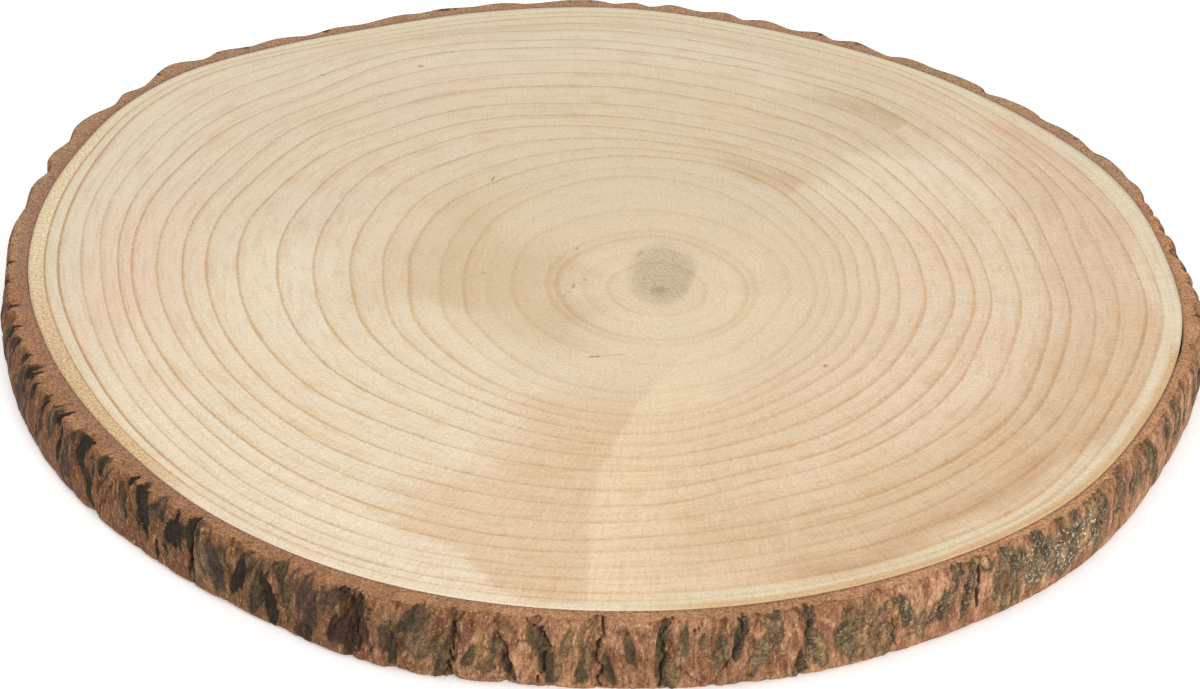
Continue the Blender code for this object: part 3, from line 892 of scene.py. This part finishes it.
# How square a plate's corners are: 2 is a true oval
SQUARENESS = 2.2


def bark_angles():
    """Columns round the ring, two and a half times as close together on the side that shows."""
    angle = np.arange(0, 360, 0.05)
    crowding = 1 + BARK_CROWDING * within(angle, SHOWN_FROM, SHOWN_TO, 14, 14)
    total = np.concatenate([[0.0], np.cumsum(crowding)])
    return np.interp(np.arange(BARK_COLUMNS) / BARK_COLUMNS * total[-1], total, np.append(angle, 360.0))


def bark_relief(angle, height):
    """How far the bark's wall stands out, in mm, at each angle and height: round-shouldered plates
    between the fissures, each crowned like half a wave."""
    share = height / TALL
    cut = np.zeros_like(angle)
    for row in range(angle.shape[0]):
        part = share[row, 0]
        lines = np.array([where + lean * (part - 0.5) for where, _, _, lean in FISSURES])
        depths = np.array([low + (high - low) * part for _, high, low, _ in FISSURES])
        lines = np.concatenate([lines[-1:] - 360, lines, lines[:1] + 360])
        depths = np.concatenate([depths[-1:], depths, depths[:1]])
        along = angle[row] + 0.35 * np.sin(part * 9 + np.radians(angle[row]) * 40)
        along = np.clip(along, lines[0], lines[-1] - 1e-6)
        left = np.clip(np.searchsorted(lines, along, side="right") - 1, 0, len(lines) - 2)
        for side in (left, left + 1):
            away = np.minimum(np.abs(along - lines[side]) * MM_PER_DEGREE / SHOULDER, 1.0)
            cut[row] += depths[side] * (1 - np.sqrt(1 - (1 - away) ** 2))
        across = (along - lines[left]) / (lines[left + 1] - lines[left])
        cut[row] -= PLATE_CROWN * np.sin(np.pi * across)
    return -cut


def hidden_plates(rng):
    """Plates for the side that doesn't show, of the same sizes as the others, drawn by chance."""
    plates = []
    angle = SHOWN_TO + 1.5
    while angle < SHOWN_FROM + 359.0:
        half_height = rng.uniform(3.0, 8.4)
        middle = rng.uniform(3.5 + half_height * 0.7, 18.5 - half_height * 0.85)
        plates.append((angle % 360, rng.uniform(1.2, 4.0), middle, half_height, rng.uniform(-0.45, 0.45),
                       rng.choice([0.0, 0.2, 0.4, 0.6, 0.8, 0.8, 1.0])))
        angle += rng.uniform(1.1, 3.2)
    return plates


def hidden_cracks(rng):
    """Cracks for the side that doesn't show, one at each fissure."""
    cracks = []
    for where, _, _, lean in FISSURES:
        if SHOWN_FROM < where < SHOWN_TO:
            continue
        top = rng.uniform(14, 20)
        bottom = rng.uniform(0, 7)
        width = rng.uniform(0.35, 0.6)
        depth = rng.uniform(0.8, 1.7)
        cracks.append((where + lean / 2, where - lean / 2, top, bottom, width, depth))
    return cracks


def plate_field(angle, height, plates, noise):
    """How far inside the nearest plate a place is, in parts of the plate's half size: over 0 inside.
    A plate is a leaning upright oval with square shoulders, and noise frays its edge. The second
    result is that plate's tone."""
    field = np.full_like(angle, -1.0)
    tone = np.zeros_like(angle)
    for where, half_width, middle, half_height, lean, own_tone in plates:
        across = ((angle - where + 180) % 360 - 180) * MM_PER_DEGREE
        near = np.abs(across[0]) < half_width + 12
        rise = height[:, near] - middle
        sideways = np.abs(across[:, near] - lean * rise) / half_width
        upwards = np.abs(rise) / half_height
        oval = (sideways ** SQUARENESS + upwards ** SQUARENESS) ** (1 / SQUARENESS)
        value = 1 - oval + noise[:, near] * 0.55
        better = value > field[:, near]
        tone[:, near] = np.where(better, own_tone, tone[:, near])
        field[:, near] = np.maximum(field[:, near], value)
    return field, tone


def crack_field(angle, height, cracks, wander):
    """Depth of the deepest crack in mm: a narrow groove along a wandering line, fading at its ends."""
    deepest = np.zeros_like(angle)
    for top_angle, bottom_angle, top, bottom, width, depth in cracks:
        middle = (top_angle + bottom_angle) / 2
        across = (angle - middle + 180) % 360 - 180
        near = np.abs(across[0]) < 4
        rise = (height[:, near] - bottom) / (top - bottom)
        line = (bottom_angle - middle) + (top_angle - bottom_angle) * rise
        away = np.abs((across[:, near] - line) * MM_PER_DEGREE + wander[:, near] * 1.1)
        ends = smooth_step(-0.08, 0.08, rise) * smooth_step(1.08, 0.92, rise)
        deepest[:, near] = np.maximum(deepest[:, near], depth * ends * np.exp(-(away / width) ** 2))
    return deepest


def mean_nearby(field, reach):
    """Mean over a few columns either side, and over the rows next to each."""
    level = sum(np.roll(field, k, axis=1) for k in range(-reach, reach + 1)) / (2 * reach + 1)
    padded = np.concatenate([level[:1], level, level[-1:]])
    return (padded[:-2] + padded[1:-1] + padded[2:]) / 3


# Screen colours of the wall's fibre: the two that the warmth runs between, then those laid on them;
# the pale on the raised ridges is partly paler fibre and partly a painted highlight
GROUND_DARK = (117, 76, 47)
GROUND_PALE = (190, 141, 104)
LEFT_BROWN = (118, 74, 38)
RIDGE_PALE_AND_HIGHLIGHT = (226, 180, 142)
FURROW_RED = (112, 66, 40)
OLD_EDGE = (124, 98, 58)
SEAM_DARK = (84, 50, 32)
END_PALE = (176, 122, 84)

# Tones of the plates, with the screen colour of each and how far it stands out in mm
TONES = [0.0, 0.2, 0.4, 0.6, 0.8, 1.0]
TONE_COLOURS = [(94, 67, 52), (74, 44, 26), (94, 76, 55), (100, 78, 50), (74, 58, 37), (40, 32, 20)]
TONE_STANDS = [0.30, -0.35, 0.35, 0.30, 0.10, -0.55]
PLATE_PALE = (154, 134, 98)
PLATE_FIBRE = (150, 106, 70)

# Screen colours of the ring's sawn faces
CUT_DARK = (155, 111, 74)
CUT_PALE = (203, 150, 109)
CUT_FAR = (174, 147, 118)
INNER_BARK = (158, 114, 92)
CUT_SEAM = (128, 82, 54)

# Where the bark has come away from the wood: degrees, gap in mm and half its length in degrees
GAPS = [(344.5, 0.7, 4.5), (38.4, 0.3, 0.5)]

# Rows of the ring: parts of the way from the inner face out to the wall underneath, heights of the
# wall in mm, and parts of the way back in along the top
UNDER_PARTS = (0.1, 0.3, 0.6, 0.85, 0.97)
WALL_HEIGHTS = np.concatenate([[0.0, 0.3, 0.8], np.linspace(1.5, 17.5, 21), [18.2, 18.9, 19.5, 20.0]])
TOP_PARTS = (0.06, 0.16, 0.32, 0.5, 0.68, 0.86)
WALL_START = len(UNDER_PARTS)
WALL_STOP = WALL_START + len(WALL_HEIGHTS)

# The unrolled ring: its strips, their height and the space kept free beside and under each, as
# parts of the picture, and how much smaller the hidden rows at the end are laid out
STRIPS = 5
STRIP_HEIGHT = 0.19
STRIP_SIDE = 0.002
STRIP_FOOT = 0.004
HIDDEN_ROWS = 4
HIDDEN_SCALE = 0.2


def wall_marks():
    """The bark's wall as a grid: the angle of each column, the height of each row, and what the wall
    carries there, such as plates, cracks, flakes and fibres."""
    angle = bark_angles()
    angles, levels = np.meshgrid(angle, WALL_HEIGHTS)
    across = angles / 360
    share = levels / TALL
    far = within(angle, 16, 182, 5, 8)
    rng = np.random.default_rng(BARK_SEED)
    lean = lattice_noise(across, share * 0, 70, 1, 51) * 0.007
    slanted = across + lean * (share - 0.5)
    fray = rough_noise(slanted, share, 520, 4, 4, 31)
    wander = rough_noise(across, share, 170, 6, 3, 41)
    lumps = rough_noise(across - share * 0.002, share, 150, 4, 3, 71)
    plate, tone = plate_field(angles, levels, PLATES + hidden_plates(rng), fray)
    crack = crack_field(angles, levels, CRACKS + hidden_cracks(rng), wander)
    coarse, coarse_edge = flakes(slanted + 0.0012 * wander, share + 0.06 * lumps, 210, 2, 81)
    small, small_edge = flakes(slanted + 0.0006 * wander, share + 0.03 * lumps, 620, 6, 82)
    return SimpleNamespace(
        angle=angle,
        angles=angles,
        levels=levels,
        far=far,
        fray=fray,
        lumps=lumps,
        plate=plate,
        inside=smooth_step(-0.05, 0.14, plate),
        tone=tone,
        crack=crack * (1 - 0.8 * far * smooth_step(12, 18, levels)),
        streak=rough_noise(slanted, share, 620, 2, 3, 33),
        ridge=1 - np.abs(rough_noise(slanted, share, 330, 2, 3, 61)) * 1.4,
        coarse=coarse,
        small=small,
        seam=smooth_step(0.10, 0.0, coarse_edge),
        small_seam=smooth_step(0.14, 0.0, small_edge),
        chips=smooth_step(0.15, 0.7, rough_noise(across, share * 0, 260, 1, 2, 91)),
        crumbs=rough_noise(across[:1], share[:1] * 0, 1300, 1, 2, 95)[0],
    )


def wall_radius(marks, wood):
    """The wall's radius in mm, moved out and in by what it carries, and how deep in a hollow each
    place lies. The far side is calmer, and its top edge follows the far rim."""
    far = marks.far
    levels = marks.levels
    thick = around(BARK_THICKNESS, marks.angle)
    relief = bark_relief(marks.angles, levels) * 0.85 + 0.24 * marks.lumps + 0.34 * (marks.ridge - 0.6)
    relief = relief + 0.26 * marks.coarse + 0.13 * marks.small
    relief -= 0.30 * marks.seam + 0.12 * marks.small_seam
    stands = np.interp(marks.tone, TONES, TONE_STANDS) + 0.25 * marks.fray + 0.2 * marks.streak
    relief += marks.inside * stands
    relief = np.where(relief > 0, relief * 0.6, relief) - 0.15 - marks.crack
    calm = 1 - 0.85 * far * smooth_step(5, 17, levels) - 0.3 * within(marks.angle, 192, 214, 6, 6)
    calm_foot = 0.35 * within(marks.angle, 196, 252, 8, 8) + 0.6 * within(marks.angle, 296, 352, 8, 6)
    calm -= smooth_step(11, 4, levels) * calm_foot
    rim = (around(FAR_RIM, marks.angle) - thick + 0.2) * far
    relief = relief * calm + rim * (0.35 + 0.65 * smooth_step(2, 17, levels))
    heights, insets = np.array(WALL_PROFILE).T
    radius = wood + thick + insets[0] + relief - np.interp(levels, heights, insets)
    worn = smooth_step(15.0, 20.0, levels) * (1.2 * marks.chips + 0.2)
    worn = worn + smooth_step(7, 20, levels) * around(TOP_SLOPE, marks.angle)
    radius -= worn * (1 - far)
    # How far each place lies below its neighbourhood: the bark's finish paints shade there
    hollow = mean_nearby(mean_nearby(relief, 6), 5) - relief
    return np.maximum(radius, wood + 1.6), hollow


def wall_colours(marks, warmth):
    """Screen colours of the wall: those of its fibre, and those of the old bark's plates."""
    pale = warmth + 0.20 * marks.coarse + 0.15 * marks.small + 0.22 * marks.lumps
    ends = np.maximum(smooth_step(2.2, 0.4, marks.levels), smooth_step(18.2, 19.8, marks.levels))
    ground = blended(GROUND_DARK, GROUND_PALE, np.clip(pale, 0, 1.15))
    for colour, amount in (
        (LEFT_BROWN, 0.45 * within(marks.angles, 186, 222, 10, 14)),
        # Paler fibre on the raised ridges, partly a painted highlight
        (RIDGE_PALE_AND_HIGHLIGHT, smooth_step(0.62, 0.98, marks.ridge) * 0.4 * np.clip(pale, 0.2, 1)),
        (FURROW_RED, smooth_step(0.45, 0.0, marks.ridge) * 0.5),
        (OLD_EDGE, smooth_step(-0.55, -0.05, marks.plate) * (0.25 + 0.35 * (marks.coarse > 0))),
        (SEAM_DARK, np.maximum(marks.seam * 0.5, marks.small_seam * 0.3)),
        (END_PALE, ends * 0.4),
    ):
        ground = blended(ground, colour, amount)
    light = np.broadcast_to(around(PLATE_LIGHT, marks.angle), marks.angles.shape)
    plates = np.stack([np.interp(marks.tone, TONES, shade) for shade in np.array(TONE_COLOURS).T], axis=-1)
    plates = plates * np.minimum(light, 1.1)[..., None]
    plates = blended(plates, PLATE_PALE, np.clip((light - 1.1) * 1.3, 0, 1))
    plates = blended(plates, PLATE_FIBRE, smooth_step(0.35, 0.85, marks.streak) * (marks.tone < 0.99) * 0.5)
    grain = 1 + 0.12 * marks.coarse + 0.22 * marks.small + 0.20 * marks.streak
    return ground, np.clip(plates * grain[..., None], 0, 255)


def cut_colours(marks, radius, wood, warmth):
    """Screen colours of the ring's sawn faces: a grainy brown, the band of inner bark beside the wood,
    and a dark seam where the two meet."""
    from_wood = radius - wood
    grain = 0.25 * lattice_noise(marks.angle / 360, 0 * marks.angle, 400, 1, 96)
    cut = blended(CUT_DARK, CUT_PALE, np.clip(warmth * 0.75 + 0.10 + grain, 0, 1))
    cut = np.broadcast_to(cut, radius.shape + (3,))
    cut = blended(cut, CUT_FAR, np.broadcast_to(0.45 * marks.far, radius.shape))
    past_band = from_wood - around(INNER_BAND, marks.angle)
    cut = blended(cut, INNER_BARK, smooth_step(0.8, -0.8, past_band) * 0.65)
    beside = smooth_step(0.9, 0.5, from_wood) * smooth_step(0.0, 0.3, from_wood)
    return blended(cut, CUT_SEAM, beside * (0.1 + 0.5 * within(marks.angle, 286, 345, 12, 10)))


def ring_rows(marks, wall, wood):
    """Radius and height in mm of every point of the ring, row by row: out along the underside, up the
    wall, in along the top and down the inner face."""
    inner = wood + 0.03
    for where, gap, reach in GAPS:
        inner = inner + gap * np.exp(-((marks.angle - where) / reach) ** 2)
    rows = [(wall[0] * part + inner * (1 - part), 0.0) for part in UNDER_PARTS]
    rows += zip(wall, WALL_HEIGHTS)
    for k, part in enumerate(TOP_PARTS):
        sunk = 0.08 * (1 - part) + 0.12 * np.abs(np.roll(marks.crumbs, 37 * k)) * (1 - part)
        rows.append((wall[-1] * (1 - part) + inner * part, TALL - sunk))
    rows += [(inner, TALL - 0.03), (inner, TALL - 4.0), (wood + 0.05, TALL - 6.0), (wood + 0.05, 0.0)]
    radius = np.array([row[0] for row in rows])
    height = np.array([np.broadcast_to(row[1], wood.shape) for row in rows])
    return radius, height


def all_rows(field, elsewhere, shape):
    """A field of the wall's rows for the whole ring, with another value on the other rows."""
    full = np.broadcast_to(elsewhere, shape + np.shape(elsewhere)[2:]).copy()
    full[WALL_START:WALL_STOP] = field
    return full


def bark_fields(marks, hollow, ground, plates, cut):
    """What the bark's finish reads at each point. Plates and cracks run on from the wall over the top.
    Skin is 1 on the wall and 0.6 at its two edges, and fades to 0 over the top."""
    shape = cut.shape[:2]
    patch = within(marks.angles, 309, 317.5, 1.5, 1.5)
    patch = patch * smooth_step(4, 6.5, marks.levels) * smooth_step(18, 16, marks.levels)
    lichen = patch + 0.25 * within(marks.angles, 288, 336, 10, 10) * marks.inside
    fields = {
        "plate": all_rows(marks.plate, -1.0, shape),
        "crack": all_rows(marks.crack, 0.0, shape),
        "hollow": all_rows(hollow, 0.0, shape),
        "skin": all_rows(1.0, 0.0, shape),
        "ground": light_of(all_rows(ground, cut, shape)),
        "dark": all_rows(plates, cut, shape),
        "lichen": all_rows(lichen, 0.0, shape),
    }
    fields["skin"][[WALL_START, WALL_STOP - 1]] = 0.6
    for k, part in enumerate(TOP_PARTS):
        row = WALL_STOP + k
        fields["plate"][row] = marks.plate[-1] - 1.1 * part + 0.25 * np.roll(marks.crumbs, 11 * k)
        fields["crack"][row] = marks.crack[-1] * (1 - part)
        fields["dark"][row] = plates[-1]
        fields["skin"][row] = 0.6 * (1 - part)
    fields["dark"] = light_of(fields["dark"])
    return fields


def make_bark():
    """The ring of bark: its wall, its sawn faces above and below, and its face against the wood."""
    marks = wall_marks()
    wood = around(WOOD_OUTLINE, marks.angle)
    warmth = around(WARMTH, marks.angle)
    wall, hollow = wall_radius(marks, wood)
    radius, height = ring_rows(marks, wall, wood)
    turn = np.radians(marks.angle)
    points = np.stack([radius * np.cos(turn), radius * np.sin(turn), height], axis=-1) * MM
    ground, plates = wall_colours(marks, warmth)
    fields = bark_fields(marks, hollow, ground, plates, cut_colours(marks, radius, wood, warmth))
    steps = np.linalg.norm(np.roll(points, -1, axis=0) - points, axis=-1).mean(axis=1)
    steps[-HIDDEN_ROWS:] *= HIDDEN_SCALE
    length = np.concatenate([[0.0], np.cumsum(steps)]) * STRIP_HEIGHT / steps.sum()
    per_strip = BARK_COLUMNS // STRIPS

    def corner_map(belt, column, up, along):
        """The ring unrolled and laid in strips, one above the other."""
        strip = column // per_strip
        u = (column - strip * per_strip + along) / per_strip
        v = STRIP_FOOT + strip / STRIPS + length[belt + up]
        return np.stack(np.broadcast_arrays(STRIP_SIDE + (1 - 2 * STRIP_SIDE) * u, v), axis=-1)

    piece = closed_skin("rough_bark", points, fields, corner_map)
    piece.data.materials.append(bark_finish())
    return piece


# Screen colours that the bark's finish lays over the fibre and the plates; the plates' edge colour and the
# hollow colour are painted shade
FIBRE_PALE = (222, 170, 128)
FIBRE_DARK = (106, 62, 38)
PLATE_EDGE_SHADE = (44, 34, 22)
CRACK_BLACK = (42, 30, 20)
HOLLOW_SHADE = (56, 38, 24)
LICHEN = (224, 212, 184)
DUST = (232, 192, 150)


def bark_finish():
    """Bark. The wall is salmon-brown fibre with dark olive plates and black hollows and cracks, with
    painted shade along the plates' edges and in the hollows; the sawn face of the ring is granular
    brown, darker where it meets the wood."""
    finish = Finish("rough bark")
    place = finish.scaled(finish.place(), 1000, 1000, 1000)
    upright = finish.scaled(place, 1.0, 1.0, 0.22)
    plate = finish.attribute("plate")
    skin = finish.attribute("skin")
    fibre = finish.noise(upright, 1.3, 4.0, 0.7, 0.4)
    fine = finish.noise(place, 1.3, 3.0, 0.8)
    medium = finish.noise(place, 0.55, 4.0, 0.7)

    ragged = plate + (fine - 0.5) * 1.3 + (fibre - 0.5) * 0.9
    on_plate = finish.step(ragged, -0.04, 0.06) * finish.step(skin, 0.0, 0.5)
    ground = finish.colour_attribute("ground")
    ground = finish.mixed(finish.step(fibre, 0.52, 0.70) * skin * 0.55, ground, paint(FIBRE_PALE))
    ground = finish.mixed(finish.step(fibre, 0.48, 0.30) * skin * 0.6, ground, paint(FIBRE_DARK))
    wall = finish.mixed(on_plate * 0.95, ground, finish.colour_attribute("dark"))
    # Painted shade along the inside of each raised plate's edge
    rim = on_plate * finish.step(ragged, 0.28, 0.04)
    wall = finish.mixed(rim * 0.35, wall, paint(PLATE_EDGE_SHADE))
    black = finish.step(finish.attribute("crack") + (fine - 0.5) * 0.5, 0.3, 0.9)
    wall = finish.mixed(black * 0.85, wall, paint(CRACK_BLACK))
    # Painted shade: the wall darkened where it lies below its neighbours, in the hollows
    deep = finish.step(finish.attribute("hollow"), 0.10, 0.6)
    wall = finish.mixed(deep * 0.45, wall, paint(HOLLOW_SHADE))
    cut_face = 1.0 - skin
    tone = 1.0 + (fine - 0.5) * (2.1 + cut_face * 1.3 + on_plate * 1.2) + (medium - 0.5) * (0.9 + on_plate)
    tone = tone + (fibre - 0.5) * (cut_face * 0.6 + 0.6)
    toned = finish.toned(wall, tone)
    flecks = finish.step(finish.noise(place, 1.1, 2.0, 0.6), 0.55, 0.64) * finish.attribute("lichen")
    flecked = finish.mixed(flecks * 0.9, toned, paint(LICHEN))
    dust = finish.step(finish.noise(place, 1.5, 1.0, 0.6), 0.64, 0.74) * (1.0 - on_plate)
    flecked = finish.mixed(dust * 0.4, flecked, paint(DUST))

    bumps = (fibre * 0.6 + on_plate * 0.3 + flecks * 0.8) * skin + fine * 0.9 + medium * 0.6 - black * 0.7
    return finish.wear(
        Base_Color=flecked,
        Roughness=0.84 + (fine - 0.5) * 0.2,
        Normal=finish.bump(bumps, 0.0009, 0.8),
        Specular_IOR_Level=0.3,
    )


# The camera: focal length and sensor width in mm, place in metres, how far it looks down and how
# far it is rolled, in degrees
LENS = 78.0
SENSOR = 36.0
CAMERA_PLACE = (0.00195, -0.65348, 0.40692)
LOOK_DOWN = 32.66
ROLL = 1.0


def make_camera():
    """The camera: level with +X and looking down along +Y, then rolled about its own line of sight."""
    down = math.radians(LOOK_DOWN)
    roll = math.radians(ROLL)
    back = Vector((0, -math.cos(down), math.sin(down)))
    right = Vector((1, 0, 0))
    up = back.cross(right)
    turned_right = right * math.cos(roll) + up * math.sin(roll)
    turned_up = up * math.cos(roll) - right * math.sin(roll)
    data = bpy.data.cameras.new("camera")
    data.lens = LENS
    data.sensor_width = SENSOR
    data.clip_start = 0.01
    data.clip_end = 20
    camera = bpy.data.objects.new("camera", data)
    bpy.context.collection.objects.link(camera)
    axes = Matrix((turned_right, turned_up, back)).transposed()
    camera.matrix_world = Matrix.Translation(CAMERA_PLACE) @ axes.to_4x4()
    bpy.context.scene.camera = camera


# The floor's screen colour, its glow, and how far it lies under the slice, in metres
FLOOR_WHITE = (250, 250, 249)
FLOOR_GLOW = (255, 255, 255)
FLOOR_LEVEL = -0.0002


def make_floor():
    """A wide pale floor just under the slice."""
    half = 3.0
    mesh = bpy.data.meshes.new("floor")
    corners = [(x * half, y * half, FLOOR_LEVEL) for x, y in ((-1, -1), (1, -1), (1, 1), (-1, 1))]
    mesh.from_pydata(corners, [], [(0, 1, 2, 3)])
    floor = bpy.data.objects.new("floor", mesh)
    bpy.context.collection.objects.link(floor)
    finish = Finish("floor")
    mesh.materials.append(finish.wear(
        Base_Color=paint(FLOOR_WHITE), Roughness=0.9, Specular_IOR_Level=0.1,
        Emission_Color=paint(FLOOR_GLOW), Emission_Strength=0.24,
    ))


def add_soft_light(name, place, target, size, power):
    """A large square lamp turned to face a point."""
    data = bpy.data.lights.new(name, "AREA")
    data.shape = "SQUARE"
    data.size = size
    data.energy = power
    lamp = bpy.data.objects.new(name, data)
    bpy.context.collection.objects.link(lamp)
    lamp.location = place
    lamp.rotation_mode = "QUATERNION"
    lamp.rotation_quaternion = (Vector(target) - Vector(place)).to_track_quat("-Z", "Y")


def make_studio():
    """Plain soft light: a white surround, a large lamp overhead and a weaker one in front."""
    world = bpy.data.worlds.new("surround")
    world.use_nodes = True
    background = world.node_tree.nodes["Background"]
    background.inputs["Color"].default_value = (1, 1, 1, 1)
    background.inputs["Strength"].default_value = 0.52
    bpy.context.scene.world = world
    add_soft_light("overhead", (-0.3, 0.1, 1.5), (0, 0, 0), 1.4, 9.6)
    add_soft_light("front", (0.55, -1.3, 0.75), (0, 0, 0), 0.9, 13)
    bpy.context.scene.view_settings.view_transform = "Standard"


make_camera()
make_floor()
make_studio()

wood = make_wood()
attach(wood, "root")
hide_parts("wood")

bark = make_bark()
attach(bark, "root")
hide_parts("bark")
